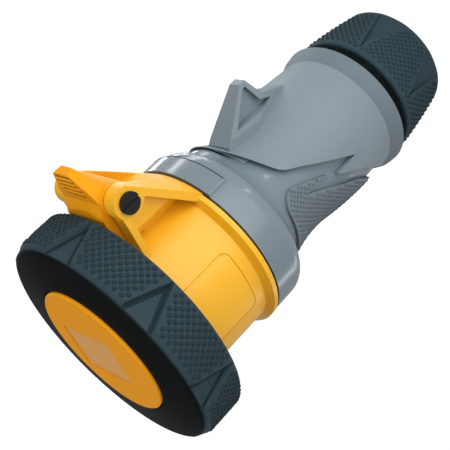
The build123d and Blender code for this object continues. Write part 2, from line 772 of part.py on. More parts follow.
def lid_cap():
    """Yellow lid: disc in the ring's hole, flange behind the ring's wall, hinge arm and thumb tab."""
    cap = rod(ring_inner_r - turn_gap, lid_under_z, lid_top_z)
    cap += rod(disc_r, lid_under_z, disc_front_z)
    cap = chamfer(circles(cap, disc_r, disc_front_z), disc_chamfer)
    notch = sector(ring_r, cam_r - turn_gap, lid_under_z - 1, lid_top_z + 1, lug_half_angle + 1)
    for angle in lug_angles:
        cap -= at_angle(angle - release_angle - 16, notch)
    field = RectangleRounded(field_width, field_length, field_corner)
    cap -= Pos(field_x, field_y, disc_front_z - field_depth) * extrude(field, 2)
    cap -= rod(lid_hollow_r, lid_under_z - 1, lid_under_z + lid_hollow_depth)
    cap -= tube(gasket_outer_r + 0.1, gasket_inner_r - 0.1, lid_under_z - 1,
                mouth_z + 0.3 + gasket_height)
    reach = degrees(asin(arm_half / arm_outer_r))
    cap += sector(arm_outer_r, arm_inner_r, arm_rear, lid_under_z + 1, reach)
    cap += lid_arm()
    cap += Pos(pin_x, 0, pin_z) * Rot(90, 0, 0) * Cylinder(knuckle_r, 2 * knuckle_half)
    return cap - Pos(pin_x, 0, pin_z) * Rot(90, 0, 0) * Cylinder(pin_r + pin_gap, 3 * ear_outer)


def lid_gasket():
    """Soft ring in the lid's groove, facing the collar's mouth."""
    return tube(gasket_outer_r, gasket_inner_r, mouth_z + 0.3, mouth_z + 0.2 + gasket_height)


def locking_ring():
    """Dark bayonet ring with triangular facets, cams inside and a front wall round the disc."""
    edge_r = ring_r - ring_front_edge
    edge_z = ring_front_z - ring_dish
    bend = ring_front_edge * (1 - cos(radians(45)))
    skin = [
        Line((ring_hole_r, ring_front_z), (edge_r, edge_z)),
        ThreePointArc((edge_r, edge_z), (ring_r - bend, edge_z - bend), (ring_r, edge_z - ring_front_edge)),
        Polyline((ring_r, edge_z - ring_front_edge), (ring_r, ring_rear_z + ring_rear_edge),
                 (ring_r - 0.6, ring_rear_z + 0.6), (ring_r - ring_rear_edge, ring_rear_z),
                 (ring_inner_r, ring_rear_z), (ring_inner_r, ring_wall_z), (ring_hole_r, ring_wall_z),
                 (ring_hole_r, ring_front_z)),
    ]
    ring = revolve(Plane.XZ * make_face(Curve() + skin), Axis.Z)
    groove_low = lid_under_z - 0.3 - retainer_height
    ring -= tube(ring_inner_r + retainer_groove, ring_inner_r - 1, groove_low, groove_low + retainer_height + 0.1)
    facet_length = ring_length - ring_facet_apex - ring_front_edge / 2
    slope = ring_facet_half / facet_length
    high = ring_front_z + 3
    reach = ring_facet_half + slope * (high - ring_front_z + ring_front_edge / 2)
    facet = Plane.YZ * flat([(-reach, high), (reach, high), (0, ring_rear_z + ring_facet_apex)])
    cutter = Pos(ring_r - ring_facet_depth, 0, 0) * extrude(facet, 6, taper=-ring_facet_lean)
    for index in range(ring_facet_count):
        ring -= at_angle(ring_facet_first + index * 360 / ring_facet_count, cutter)
    cam_low = lug_z - 0.6 - cam_thickness
    cam = sector(ring_inner_r + 0.5, cam_r, cam_low, cam_low + cam_thickness, lug_half_angle)
    for angle in lug_angles:
        ring += at_angle(angle - release_angle, cam)
    return ring


def ring_retainer():
    """Snap ring in the locking ring's groove, behind the lid's flange."""
    low = lid_under_z - 0.3 - retainer_height
    outer = ring_inner_r + retainer_groove - 0.05
    return tube(outer, ring_inner_r - retainer_width, low + 0.05, low + retainer_height)


def all_parts():
    parts = {
        "gland_nut": gland_nut(),
        "gland_ring": gland_ring(),
        "gland_seal": gland_seal(),
        "gland_cage": gland_cage(),
        "cage_seal": cage_seal(),
        "handle_shell": handle_shell(),
        "grip_cover": grip_cover(),
        "grip_pad": grip_pad(),
        "locking_slide": locking_slide(),
        "housing_seal": housing_seal(),
        "socket_housing": socket_housing(),
        "hinge_pin": hinge_pin(),
        "pin_clip": pin_clip(),
        "contact_carrier": contact_carrier(),
        "terminal_block": terminal_block(),
        "carrier_cover": carrier_cover(),
        "carrier_screws": carrier_screws(),
        "terminal_screws": terminal_screws(),
        "lid_cap": lid_cap(),
        "lid_gasket": lid_gasket(),
        "locking_ring": locking_ring(),
        "ring_retainer": ring_retainer(),
    }
    for name, (angle, bore) in contacts.items():
        parts[name] = contact(angle, bore)
    return parts


os.makedirs("parts", exist_ok=True)
for node, solid in all_parts().items():
    export_step(solid, f"parts/{node}.step")
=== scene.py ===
import json
import math
import bpy
import bmesh
from mathutils import Matrix, Vector
from mathutils.bvhtree import BVHTree


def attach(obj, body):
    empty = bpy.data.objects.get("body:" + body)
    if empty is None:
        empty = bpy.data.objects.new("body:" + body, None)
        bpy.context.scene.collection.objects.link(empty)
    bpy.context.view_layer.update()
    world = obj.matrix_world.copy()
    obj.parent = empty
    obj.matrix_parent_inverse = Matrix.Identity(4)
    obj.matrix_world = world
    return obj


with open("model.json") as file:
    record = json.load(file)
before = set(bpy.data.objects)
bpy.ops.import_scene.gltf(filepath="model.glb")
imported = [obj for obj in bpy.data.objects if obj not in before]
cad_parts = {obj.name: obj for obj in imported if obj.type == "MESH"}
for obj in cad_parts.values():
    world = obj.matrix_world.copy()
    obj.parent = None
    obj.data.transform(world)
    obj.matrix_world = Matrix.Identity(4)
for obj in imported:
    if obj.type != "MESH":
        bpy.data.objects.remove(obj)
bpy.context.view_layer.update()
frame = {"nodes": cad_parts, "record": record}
nodes = frame["nodes"]

# A piece's values are in mm and degrees, from the plug axis and the nut's cable end.
# The camera, the floor and the lights are in metres.
mm = 0.001

# Camera, at the photograph's viewing angle

camera = {
    "place": (0.2331, -0.3118, 0.30334),
    "up": (0.74007, 0.18328, -0.64708),
    "back": (0.54353, -0.72964, 0.41497),
    "lens": 78.855,
    "sensor": 36,
    "nearest": 0.01,
}

def addCamera(values):
    data = bpy.data.cameras.new("camera")
    data.lens = values["lens"]
    data.sensor_width = values["sensor"]
    data.clip_start = values["nearest"]
    item = bpy.data.objects.new("camera", data)
    bpy.context.scene.collection.objects.link(item)
    back = Vector(values["back"]).normalized()
    right = Vector(values["up"]).cross(back).normalized()
    turn = Matrix((right, back.cross(right), back)).transposed().to_4x4()
    item.matrix_world = Matrix.Translation(Vector(values["place"])) @ turn
    bpy.context.scene.camera = item

addCamera(camera)
print("camera placed")

# Materials

def hexColour(text):
    # From sRGB to the linear values that the shaders read
    values = []
    for start in (0, 2, 4):
        part = int(text[start:start + 2], 16) / 255
        values.append(part / 12.92 if part <= 0.04045 else ((part + 0.055) / 1.055) ** 2.4)
    return (*values, 1)

def addNode(tree, kind, settings=None, inputs=None):
    node = tree.nodes.new(kind)
    for name, value in (settings or {}).items():
        setattr(node, name, value)
    for name, value in (inputs or {}).items():
        if isinstance(value, bpy.types.NodeSocket):
            tree.links.new(value, node.inputs[name])
        else:
            node.inputs[name].default_value = value
    return node

def newMaterial(name):
    material = bpy.data.materials.new(name)
    material.use_nodes = True
    tree = material.node_tree
    tree.nodes.clear()
    return material, tree

# A Mix node has a pair of sockets for each kind of value, and these are its colour ones
mixFirst, mixSecond, mixResult = 6, 7, 2

def mixColours(tree, first, second, share):
    mix = addNode(tree, "ShaderNodeMix", {"data_type": "RGBA", "blend_type": "MIX"}, {"Factor": share})
    for socket, value in ((mix.inputs[mixFirst], first), (mix.inputs[mixSecond], second)):
        if isinstance(value, bpy.types.NodeSocket):
            tree.links.new(value, socket)
        else:
            socket.default_value = value
    return mix.outputs[mixResult]

def paintedShadeFront(tree, place, tone, values):
    # Above one height, and inside one radius, the surface takes a darker colour, painted shade on the front
    # wall
    split = addNode(tree, "ShaderNodeSeparateXYZ", None, {"Vector": place})
    level = addNode(tree, "ShaderNodeMapRange", {"interpolation_type": "SMOOTHSTEP"},
                    {"Value": split.outputs["Z"], "From Min": values["from"] * mm,
                     "From Max": values["to"] * mm})
    flatPlace = addNode(tree, "ShaderNodeCombineXYZ", None,
                        {"X": split.outputs["X"], "Y": split.outputs["Y"]})
    spread = addNode(tree, "ShaderNodeVectorMath", {"operation": "LENGTH"},
                     {0: flatPlace.outputs["Vector"]})
    inside = addNode(tree, "ShaderNodeMath", {"operation": "LESS_THAN"},
                     {0: spread.outputs["Value"], 1: values["radius"] * mm})
    share = addNode(tree, "ShaderNodeMath", {"operation": "MULTIPLY"},
                    {0: level.outputs["Result"], 1: inside.outputs[0]})
    return mixColours(tree, tone, hexColour(values["colour"]), share.outputs[0])

def mouldedPlastic(name, values):
    # Colour drifts a little over centimetres, the mould's grain is a fine bump,
    # and the bevel node rounds the sharp edges as a real mould does.
    material, tree = newMaterial(name)
    place = addNode(tree, "ShaderNodeTexCoord").outputs["Object"]
    drift = addNode(tree, "ShaderNodeTexNoise", {"noise_dimensions": "3D"},
                    {"Vector": place, "Scale": 1 / (values["driftSize"] * mm),
                     "Detail": values["driftDetail"], "Roughness": values["driftBreakUp"]})
    tone = mixColours(tree, hexColour(values["shade"]), hexColour(values["colour"]), drift.outputs["Fac"])
    # On the ring, painted shade darkens the front wall
    if "front" in values:
        tone = paintedShadeFront(tree, place, tone, values["front"])
    grain = addNode(tree, "ShaderNodeTexNoise", {"noise_dimensions": "3D"},
                    {"Vector": place, "Scale": 1 / (values["grainSize"] * mm),
                     "Detail": values["grainDetail"], "Roughness": values["grainBreakUp"]})
    gloss = addNode(tree, "ShaderNodeMapRange", None,
                    {"Value": grain.outputs["Fac"], "From Min": values["grainLow"],
                     "From Max": values["grainHigh"], "To Min": values["roughness"] - values["roughSpread"],
                     "To Max": values["roughness"] + values["roughSpread"]})
    edge = addNode(tree, "ShaderNodeBevel", {"samples": values["edgeSamples"]},
                   {"Radius": values["edge"] * mm})
    bump = addNode(tree, "ShaderNodeBump", None,
                   {"Strength": values["grainStrength"], "Distance": values["grainDepth"] * mm,
                    "Height": grain.outputs["Fac"], "Normal": edge.outputs["Normal"]})
    shader = addNode(tree, "ShaderNodeBsdfPrincipled", None,
                     {"Base Color": tone, "Roughness": gloss.outputs["Result"],
                      "Normal": bump.outputs["Normal"], "IOR": values["ior"],
                      "Metallic": values["metallic"], "Specular IOR Level": values["specular"]})
    addNode(tree, "ShaderNodeOutputMaterial", None, {"Surface": shader.outputs["BSDF"]})
    return material

# Sizes in mm: a moulding's colour drifts over centimetres, its grain is under a millimetre
base = {"driftSize": 30, "driftDetail": 2.0, "driftBreakUp": 0.5,
        "grainSize": 0.5, "grainDetail": 3.0, "grainBreakUp": 0.6, "grainLow": 0.3, "grainHigh": 0.7,
        "grainStrength": 0.25, "grainDepth": 0.05, "roughSpread": 0.04, "edge": 0.45, "edgeSamples": 6,
        "ior": 1.5, "metallic": 0.0, "specular": 0.5, "slots": []}

finishes = {
    # Polyamide 6 out of a polished mould: warm yellow, a soft gloss and a faint orange-peel
    "yellowPolyamide": {"colour": "ecae1e", "shade": "e8aa1a", "roughness": 0.34, "grainSize": 1.2,
                        "grainStrength": 0.05, "slots": ["yellow_plastic"]},
    # The lid's polyamide, from a finely eroded mould, so its faces are duller than the collar's
    "lidPolyamide": {"colour": "ea9a0e", "shade": "e5950a", "roughness": 0.5, "grainSize": 0.6,
                     "grainStrength": 0.12, "specular": 0.1, "slots": ["lid_plastic"]},
    # Polyamide 6 for the shell and its slide: bluish grey with a clear satin gloss
    "greyPolyamide": {"colour": "717e86", "shade": "6c7981", "roughness": 0.22, "grainSize": 1.0,
                      "grainStrength": 0.02, "slots": ["grey_shell", "grey_slide"]},
    # Soft elastomer over-moulding out of a spark-eroded mould: matte, very fine grain
    "greyOvermould": {"colour": "76838a", "shade": "727e86", "roughness": 0.55, "grainSize": 0.45,
                      "grainStrength": 0.35, "specular": 0.35, "slots": ["grey_cover"]},
    # The same elastomer on the textured pad, coloured a little darker
    "padElastomer": {"colour": "6b767d", "shade": "667178", "roughness": 0.58, "grainSize": 0.45,
                     "grainStrength": 0.35, "specular": 0.35, "slots": ["grey_pad"]},
    # Glass-filled polyamide in slate blue-grey, eroded mould: matte with fine grit
    "slatePolyamide": {"colour": "2f4148", "shade": "2a3b42", "roughness": 0.55, "grainSize": 0.5,
                       "grainStrength": 0.25, "specular": 0.12, "slots": ["slate_plastic"]},
    # The ring is the same compound; its dished front wall, turned away from the lamps, is painted darker as
    # painted shade
    "ringPolyamide": {"colour": "2f4148", "shade": "2a3b42", "roughness": 0.55, "grainSize": 0.5,
                      "grainStrength": 0.25, "specular": 0.12, "slots": ["ring_plastic"],
                      "front": {"colour": "0b1214", "from": 199.9, "to": 200.9, "radius": 51.6}},
    # Black polyamide of the gland's body and inner rings
    "blackPolyamide": {"colour": "0a0c0d", "shade": "070809", "roughness": 0.5, "specular": 0.1,
                       "slots": ["black_plastic", "dark_plastic", "carrier_plastic"]},
    # Moulded rubber: dull, dark, slightly dusty
    "blackRubber": {"colour": "17191a", "shade": "121415", "roughness": 0.7, "specular": 0.25,
                    "slots": ["black_rubber", "seal_rubber"]},
    # Grey rubber washer against the handle's rim
    "greyRubber": {"colour": "4d585e", "shade": "465157", "roughness": 0.65, "specular": 0.3,
                   "slots": ["grey_rubber"]},
    # Black-oxide steel pin under a thin lacquer: dark with a soft sheen
    "blackOxideSteel": {"colour": "1c1d1f", "shade": "17181a", "roughness": 0.42, "specular": 0.3,
                        "edge": 0.3, "slots": ["pin_steel"]},
    # Zinc-plated steel of the screws and the washer
    "zincSteel": {"colour": "b9bcc0", "shade": "a5a9ae", "roughness": 0.34, "metallic": 1.0,
                  "edge": 0.2, "slots": ["clip_steel", "screw_steel"]},
    # Turned brass sleeves
    "turnedBrass": {"colour": "d0a860", "shade": "c39a52", "roughness": 0.28, "metallic": 1.0,
                    "edge": 0.2, "slots": ["contact_brass"]},
    # Shut lines: the shadow in a joint that is narrower than the moulding's step
    "jointShadow": {"colour": "2c363c", "shade": "273137", "roughness": 0.7, "specular": 0.1},
    # The field's border, a fine step whose shade is painted in deep amber
    "amberShadow": {"colour": "cf900e", "shade": "ca8b09", "roughness": 0.6, "specular": 0.15},
    # Painted shade: dark slate in the facets' creases
    "slateShadow": {"colour": "1e2c32", "shade": "1a282e", "roughness": 0.6, "specular": 0.08},
    # Painted shade: deep amber between the thumb ridges
    "ridgeShadow": {"colour": "a96c06", "shade": "a46703", "roughness": 0.6, "specular": 0.08},
    # Pips are coloured a shade darker than the land round them, painted shade for the dark sides that they
    # turn from the light, here on the ring and the nut, and below on the pad
    "slatePips": {"colour": "25353b", "shade": "213137", "roughness": 0.55, "grainSize": 0.5,
                  "grainStrength": 0.2, "specular": 0.12},
    "greyPips": {"colour": "5d686f", "shade": "59646b", "roughness": 0.6, "specular": 0.3},
    # The handle's rear rim, from a coarser eroded part of the mould
    "rimPolyamide": {"colour": "66727a", "shade": "626d75", "roughness": 0.6, "grainStrength": 0.3,
                     "specular": 0.25},
    # The disc's sunk field is polished in the mould, and its colour is paler than the disc round it
    "polishedField": {"colour": "e2a254", "shade": "de9e50", "roughness": 0.3, "specular": 0.3},
}

materials = {}
slotMaterials = {}
for finishName, finish in finishes.items():
    settings = {**base, **finish}
    materials[finishName] = mouldedPlastic(finishName, settings)
    for slotName in settings["slots"]:
        slotMaterials[slotName] = materials[finishName]

for row in frame["record"]["subparts"]:
    for materialSlot in nodes[row["node"]].material_slots:
        materialSlot.material = slotMaterials[row["material_slot"]]
print("materials on", len(nodes), "nodes")

# What every piece uses

sharpAngle = math.radians(50)
beyondPart = 0.08

def surfaceOf(name):
    # Search tree over a CAD node's mesh
    data = nodes[name].data
    points = [vertex.co.copy() for vertex in data.vertices]
    faces = [tuple(face.vertices) for face in data.polygons]
    return BVHTree.FromPolygons(points, faces)

def outward(angle):
    # Angles run from +X towards -Y
    return Vector((math.cos(math.radians(angle)), -math.sin(math.radians(angle)), 0))

def hitAt(tree, angle, height):
    # Place and normal of the surface where a ray meets it, from outside towards the plug axis
    way = outward(angle)
    start = way * beyondPart
    start.z = height
    place, normal, _, _ = tree.ray_cast(start, -way, beyondPart)
    return place, normal

def finishPiece(bm, values):
    # A piece takes its finish from its own values, or else its slot's
    name = values["name"]
    bmesh.ops.recalc_face_normals(bm, faces=bm.faces)
    for face in bm.faces:
        face.smooth = True
    data = bpy.data.meshes.new(name)
    bm.to_mesh(data)
    bm.free()
    data.set_sharp_from_angle(angle=sharpAngle)
    item = bpy.data.objects.new(name, data)
    bpy.context.scene.collection.objects.link(item)
    finishName = values.get("finish")
    data.materials.append(materials[finishName] if finishName else slotMaterials[values["slot"]])
    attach(item, values["body"])

def alongAxis(height):
    return Vector((0, 0, height * mm))

# Pips on the ring, the nut and the pad

def pipShape(values):
    radius, rise = values["radius"] * mm, values["rise"] * mm
    bm = bmesh.new()
    bmesh.ops.create_uvsphere(bm, u_segments=values["segments"], v_segments=values["rings"], radius=1.0,
                              matrix=Matrix.Diagonal((radius, radius, rise, 1)))
    data = bpy.data.meshes.new("pip")
    bm.to_mesh(data)
    bm.free()
    return data

def clearRound(tree, values, place, angle, height):
    # A pip stays off facets and borders: the surface round it has to be there, and to lie on the land
    radius = math.hypot(place.x, place.y)
    for step in range(values["bearings"]):
        bearing = 2 * math.pi * step / values["bearings"]
        sideways = math.degrees(values["margin"] * mm * math.cos(bearing) / radius)
        level = (height + values["marginAlong"] * math.sin(bearing)) * mm
        near, _ = hitAt(tree, angle + sideways, level)
        if near is None:
            return False
        reach = math.hypot(near.x, near.y)
        if values["land"] is None:
            if abs(reach - radius) > values["tolerance"] * mm:
                return False
            continue
        land, _ = hitAt(tree, values["land"], level)
        if land is None or math.hypot(land.x, land.y) - reach > values["tolerance"] * mm:
            return False
    return True

def pipField(values):
    # Rows of pips round a node, every other row shifted by half a step
    tree = surfaceOf(values["node"])
    pip = pipShape(values)
    bm = bmesh.new()
    count, row, height = 0, 0, values["low"]
    while height <= values["high"]:
        angle = values["firstAngle"] + (values["angleStep"] / 2 if row % 2 else 0)
        while angle < values["lastAngle"]:
            place, normal = hitAt(tree, angle, height * mm)
            if place is not None and clearRound(tree, values, place, angle, height):
                turn = Vector((0, 0, 1)).rotation_difference(normal).to_matrix().to_4x4()
                copy = pip.copy()
                copy.transform(Matrix.Translation(place) @ turn)
                bm.from_mesh(copy)
                bpy.data.meshes.remove(copy)
                count += 1
            angle += values["angleStep"]
        height += values["rowStep"]
        row += 1
    bpy.data.meshes.remove(pip)
    print(values["name"], count, "pips")
    finishPiece(bm, values)

pipMesh = {"segments": 10, "rings": 6, "bearings": 8}

ringPips = {**pipMesh, "name": "ringPips", "finish": "slatePips", "node": "locking_ring",
            "body": "locking_ring", "slot": "ring_plastic", "low": 181.7, "high": 197.6, "rowStep": 1.75,
            "firstAngle": 0.0, "lastAngle": 359.9, "angleStep": 3.75, "radius": 0.95, "rise": 0.56,
            "margin": 1.8, "marginAlong": 0.9, "tolerance": 0.1, "land": 31.5}
pipField(ringPips)

nutPips = {**pipMesh, "name": "nutPips", "finish": "slatePips", "node": "gland_nut",
           "body": "gland_nut", "slot": "slate_plastic", "low": 5.2, "high": 31.5, "rowStep": 1.55,
           "firstAngle": 0.0, "lastAngle": 359.9, "angleStep": 6.0, "radius": 0.78, "rise": 0.5,
           "margin": 1.6, "marginAlong": 1.0, "tolerance": 0.1, "land": 56.5}
pipField(nutPips)

padPips = {**pipMesh, "name": "padPips", "finish": "greyPips", "node": "grip_pad",
           "body": "coupler", "slot": "grey_pad", "low": 50.0, "high": 112.5, "rowStep": 1.4,
           "firstAngle": 60.0, "lastAngle": 300.0, "angleStep": 5.6, "radius": 0.75, "rise": 0.5,
           "margin": 1.0, "marginAlong": 0.9, "tolerance": 1.6, "land": None}
pipField(padPips)

# Small forms and fields

def boxPiece(values):
    # Box between two corners in mm, with its upright edges rounded where it has a corner radius
    low, high = values["low"], values["high"]
    bm = bmesh.new()
    bmesh.ops.create_cube(bm, size=1.0)
    bmesh.ops.scale(bm, verts=bm.verts, vec=[(top - bottom) * mm for bottom, top in zip(low, high)])
    bmesh.ops.translate(bm, verts=bm.verts, vec=[(top + bottom) / 2 * mm for bottom, top in zip(low, high)])
    if values["corner"]:
        upright = [edge for edge in bm.edges if edge.verts[0].co.xy == edge.verts[1].co.xy]
        bmesh.ops.bevel(bm, geom=upright, affect="EDGES", offset=values["corner"] * mm,
                        segments=values["segments"], profile=0.5, material=-1)
    finishPiece(bm, values)

def turnedPiece(values):
    # A closed profile of radius and height, turned about the plug axis between two angles
    bm = bmesh.new()
    start = outward(values["first"])
    corners = [bm.verts.new(start * radius * mm + alongAxis(height)) for radius, height in values["profile"]]
    whole = values["last"] - values["first"] >= 360
    if whole:
        edges = [bm.edges.new((corner, corners[index - 1])) for index, corner in enumerate(corners)]
        geometry = corners + edges
    else:
        geometry = [bm.faces.new(corners)] + corners
    bmesh.ops.spin(bm, geom=geometry, cent=(0, 0, 0), axis=(0, 0, 1), steps=values["steps"],
                   angle=-math.radians(values["last"] - values["first"]), use_merge=whole)
    finishPiece(bm, values)

def extrudeThrough(bm, rings):
    # The first outline becomes a face, which is extruded and moved onto each outline that follows.
    # An extrusion leaves its old face behind, and only the first one stays, as the piece's end.
    end = bm.faces.new([bm.verts.new(place) for place in rings[0]])
    face = end
    for ring in rings[1:]:
        grown = bmesh.ops.extrude_face_region(bm, geom=[face])["geom"]
        if face is not end:
            bmesh.ops.delete(bm, geom=[face], context="FACES_ONLY")
        face = next(part for part in grown if isinstance(part, bmesh.types.BMFace))
        for corner, place in zip(face.verts, ring):
            corner.co = place

# The bare field in the middle of the lid's disc
discField = {"name": "discField", "low": (-15.0, -10.9, 203.7), "high": (8.6, 19.9, 204.02), "corner": 1.3,
             "segments": 6, "body": "lid", "slot": "lid_plastic", "finish": "polishedField"}
boxPiece(discField)

# Webs fill the slit at the root of the hinge's ears
webRoot = {"outline": [(36.5, 12.75), (38.6, 14.5), (38.6, 13.4), (37.6, 12.75)],
           "bottom": 165.4, "top": 172.2, "body": "coupler", "slot": "yellow_plastic"}

def addWebRoot(values, side):
    bm = bmesh.new()
    extrudeThrough(bm, [[Vector((x, side * y, 0)) * mm + alongAxis(height) for x, y in values["outline"]]
                        for height in (values["bottom"], values["top"])])
    finishPiece(bm, values)

addWebRoot({**webRoot, "name": "webRootLeft"}, 1)
addWebRoot({**webRoot, "name": "webRootRight"}, -1)

# Shadow in the shut line along the slide's rear edge
slideLine = {"name": "slideLine", "first": -33.4, "last": 33.4, "steps": 60,
             "profile": [(41.0, 129.0), (41.46, 129.35), (41.46, 129.75), (41.0, 129.75)],
             "body": "coupler", "slot": "grey_slide", "finish": "jointShadow"}
turnedPiece(slideLine)

# The handle's rear rim, one flared band
rimBand = {"name": "rimBand", "first": 0, "last": 360, "steps": 180,
           "profile": [(30.6, 47.2), (31.33, 47.1), (33.4, 43.3), (33.85, 39.8), (33.0, 39.6)],
           "body": "coupler", "slot": "grey_shell", "finish": "rimPolyamide"}
turnedPiece(rimBand)

slideEnd = {"inner": 39.0, "foot": 39.93, "top": 41.36, "angle": 33.3, "reach": 36.4, "low": 129.4,
            "high": 139.2, "steps": 10, "body": "coupler", "slot": "grey_shell"}

def addSlideEnd(values, side):
    # Ramp between the slide's end and the shoulder, which closes the step that the end face leaves
    rings = []
    for step in range(values["steps"] + 1):
        share = step / values["steps"]
        out = outward(side * (values["angle"] + share * (values["reach"] - values["angle"])))
        radius = values["foot"] + (values["top"] - values["foot"]) * 0.5 * (1 + math.cos(math.pi * share))
        rings.append([out * reach * mm + alongAxis(height) for reach, height in (
            (values["inner"], values["low"]), (radius, values["low"]),
            (radius, values["high"]), (values["inner"], values["high"]))])
    bm = bmesh.new()
    extrudeThrough(bm, rings)
    finishPiece(bm, values)

addSlideEnd({**slideEnd, "name": "slideEndRight"}, 1)
addSlideEnd({**slideEnd, "name": "slideEndLeft"}, -1)

fieldLine = {"name": "fieldLine", "radius": 37.86, "inner": 37.5, "middle": 84.85, "half": 14.2,
             "corner": 3.0, "low": 150.45, "high": 184.9, "start": 153.6, "width": 0.38, "cornerSteps": 8,
             "edgeSteps": 25, "body": "coupler", "slot": "yellow_plastic", "finish": "amberShadow"}

def addFieldLine(values):
    # Painted shade as a fine dark line along the raised field's border, on the flange side and the side away
    # from the hinge.
    # A point of the path is its place across and along the field, and the way out of the field there.
    corner, inward = values["corner"], values["half"] - values["corner"]
    bottom = values["low"] + corner
    turns = [math.radians(90 * step / values["cornerSteps"]) for step in range(values["cornerSteps"] + 1)]
    path = [(-values["half"], values["start"], -1, 0)]
    for turn in turns:
        path.append((-inward - corner * math.cos(turn), bottom - corner * math.sin(turn),
                     -math.cos(turn), -math.sin(turn)))
    for step in range(1, values["edgeSteps"]):
        path.append((-inward + 2 * inward * step / values["edgeSteps"], values["low"], 0, -1))
    for turn in turns:
        path.append((inward + corner * math.sin(turn), bottom - corner * math.cos(turn),
                     math.sin(turn), -math.cos(turn)))
    path.append((values["half"], values["high"], 1, 0))
    section = ((values["inner"], 0), (values["radius"], 0), (values["radius"], values["width"]),
               (values["inner"], values["width"]))
    rings = []
    for across, height, outAcross, outAlong in path:
        ring = []
        for radius, inset in section:
            bend = math.degrees(math.asin((across - outAcross * inset) / values["radius"]))
            level = alongAxis(height - outAlong * inset)
            ring.append(outward(values["middle"] + bend) * radius * mm + level)
        rings.append(ring)
    bm = bmesh.new()
    extrudeThrough(bm, rings)
    finishPiece(bm, values)

addFieldLine(fieldLine)

coverLip = {"name": "coverLip", "first": -75, "last": 27, "steps": 44, "peak": -26, "low": 103.5,
            "high": 113.6, "shortest": 0.8, "rows": 8, "near": 29.9, "nearDrop": 0.6, "edge": 31.0,
            "edgeDrop": 1.6, "flare": 3.8, "power": 1.5, "thick": 0.8, "body": "coupler",
            "slot": "grey_cover"}

def addCoverLip(values):
    # The cover's front edge flares out beside the fin's foot, most at its peak and least at both ends
    first, last, peak = values["first"], values["last"], values["peak"]
    rings = []
    for step in range(values["steps"] + 1):
        angle = first + (last - first) * step / values["steps"]
        reach = last - peak if angle > peak else peak - first
        share = 0.5 * (1 + math.cos(math.pi * (angle - peak) / reach))
        length = (values["high"] - values["low"]) * (values["shortest"] + (1 - values["shortest"]) * share)
        tip = values["edge"] - values["edgeDrop"] * (1 - share) + values["flare"] * share
        outer, inner = [], []
        for row in range(values["rows"] + 1):
            along = row / values["rows"]
            radius = (values["near"] - values["nearDrop"] * (1 - share)
                      + (tip - values["near"]) * along ** values["power"])
            place = alongAxis(values["low"] + length * along)
            outer.append(outward(angle) * radius * mm + place)
            inner.append(outward(angle) * (radius - values["thick"]) * mm + place)
        rings.append(outer + inner[::-1])
    bm = bmesh.new()
    extrudeThrough(bm, rings)
    finishPiece(bm, values)

addCoverLip(coverLip)

# The shell swells under that lip, up to the shoulder
neckSwell = {**coverLip, "name": "neckSwell", "low": 112.4, "high": 120.6, "shortest": 0.55, "near": 27.5,
             "edge": 30.3, "flare": 4.3, "power": 0.1, "thick": 3.0, "slot": "grey_shell"}
addCoverLip(neckSwell)

facetShade = {"name": "facetShade", "count": 8, "first": 9.0, "floor": 51.2, "top": 51.45, "apex": 181.5,
              "end": 200.2, "slope": 0.395, "width": 1.6, "body": "locking_ring", "slot": "ring_plastic",
              "finish": "slateShadow"}

def addFacetShade(values):
    # Painted shade: a dark strip along both sides of every triangular facet of the ring, where its crease is
    # shaded
    across = values["width"] * math.hypot(1, values["slope"])
    wide = values["slope"] * (values["end"] - values["apex"])
    leg = [(0, values["apex"]), (wide, values["end"]), (wide - across, values["end"]),
           (0, values["apex"] + across / values["slope"])]
    bm = bmesh.new()
    for index in range(values["count"]):
        angle = values["first"] + index * 360 / values["count"]
        for side in (1, -1):
            sideways = outward(angle + 90) * side
            extrudeThrough(bm, [[(outward(angle) * radius + sideways * offset) * mm + alongAxis(height)
                                 for offset, height in leg] for radius in (values["floor"], values["top"])])
    finishPiece(bm, values)

addFacetShade(facetShade)

# Painted shade between the thumb tab's ridges, one dark strip for each groove, lettered from the tab's tip
ridgeShadow = {"tip": 71.8, "tipHeight": 178.1, "fall": 0.1189, "first": 70.45, "step": 2.3,
               "letters": "ABCDE", "wide": 1.0, "half": 5.0, "grow": 0.5, "sunk": 0.25, "rise": 0.07,
               "corner": 0, "slot": "lid_plastic", "body": "lid", "finish": "ridgeShadow"}

def addRidgeShadow(values, index):
    x = values["first"] - index * values["step"]
    height = values["tipHeight"] - (values["tip"] - x) * values["fall"]
    half = values["half"] + index * values["grow"]
    boxPiece({**values, "name": "ridgeShadow" + values["letters"][index],
              "low": (x - values["wide"] / 2, -half, height - values["sunk"]),
              "high": (x + values["wide"] / 2, half, height + values["rise"])})

for ridgeIndex in range(len(ridgeShadow["letters"])):
    addRidgeShadow(ridgeShadow, ridgeIndex)
print("small forms added")

# Stage and light

white = (1, 1, 1, 1)
stage = {"size": 4.0, "drop": 0.0002, "colour": "f2f2f2", "glow": 0.86, "paperWhite": 1.13,
         "mirrored": 0.4}

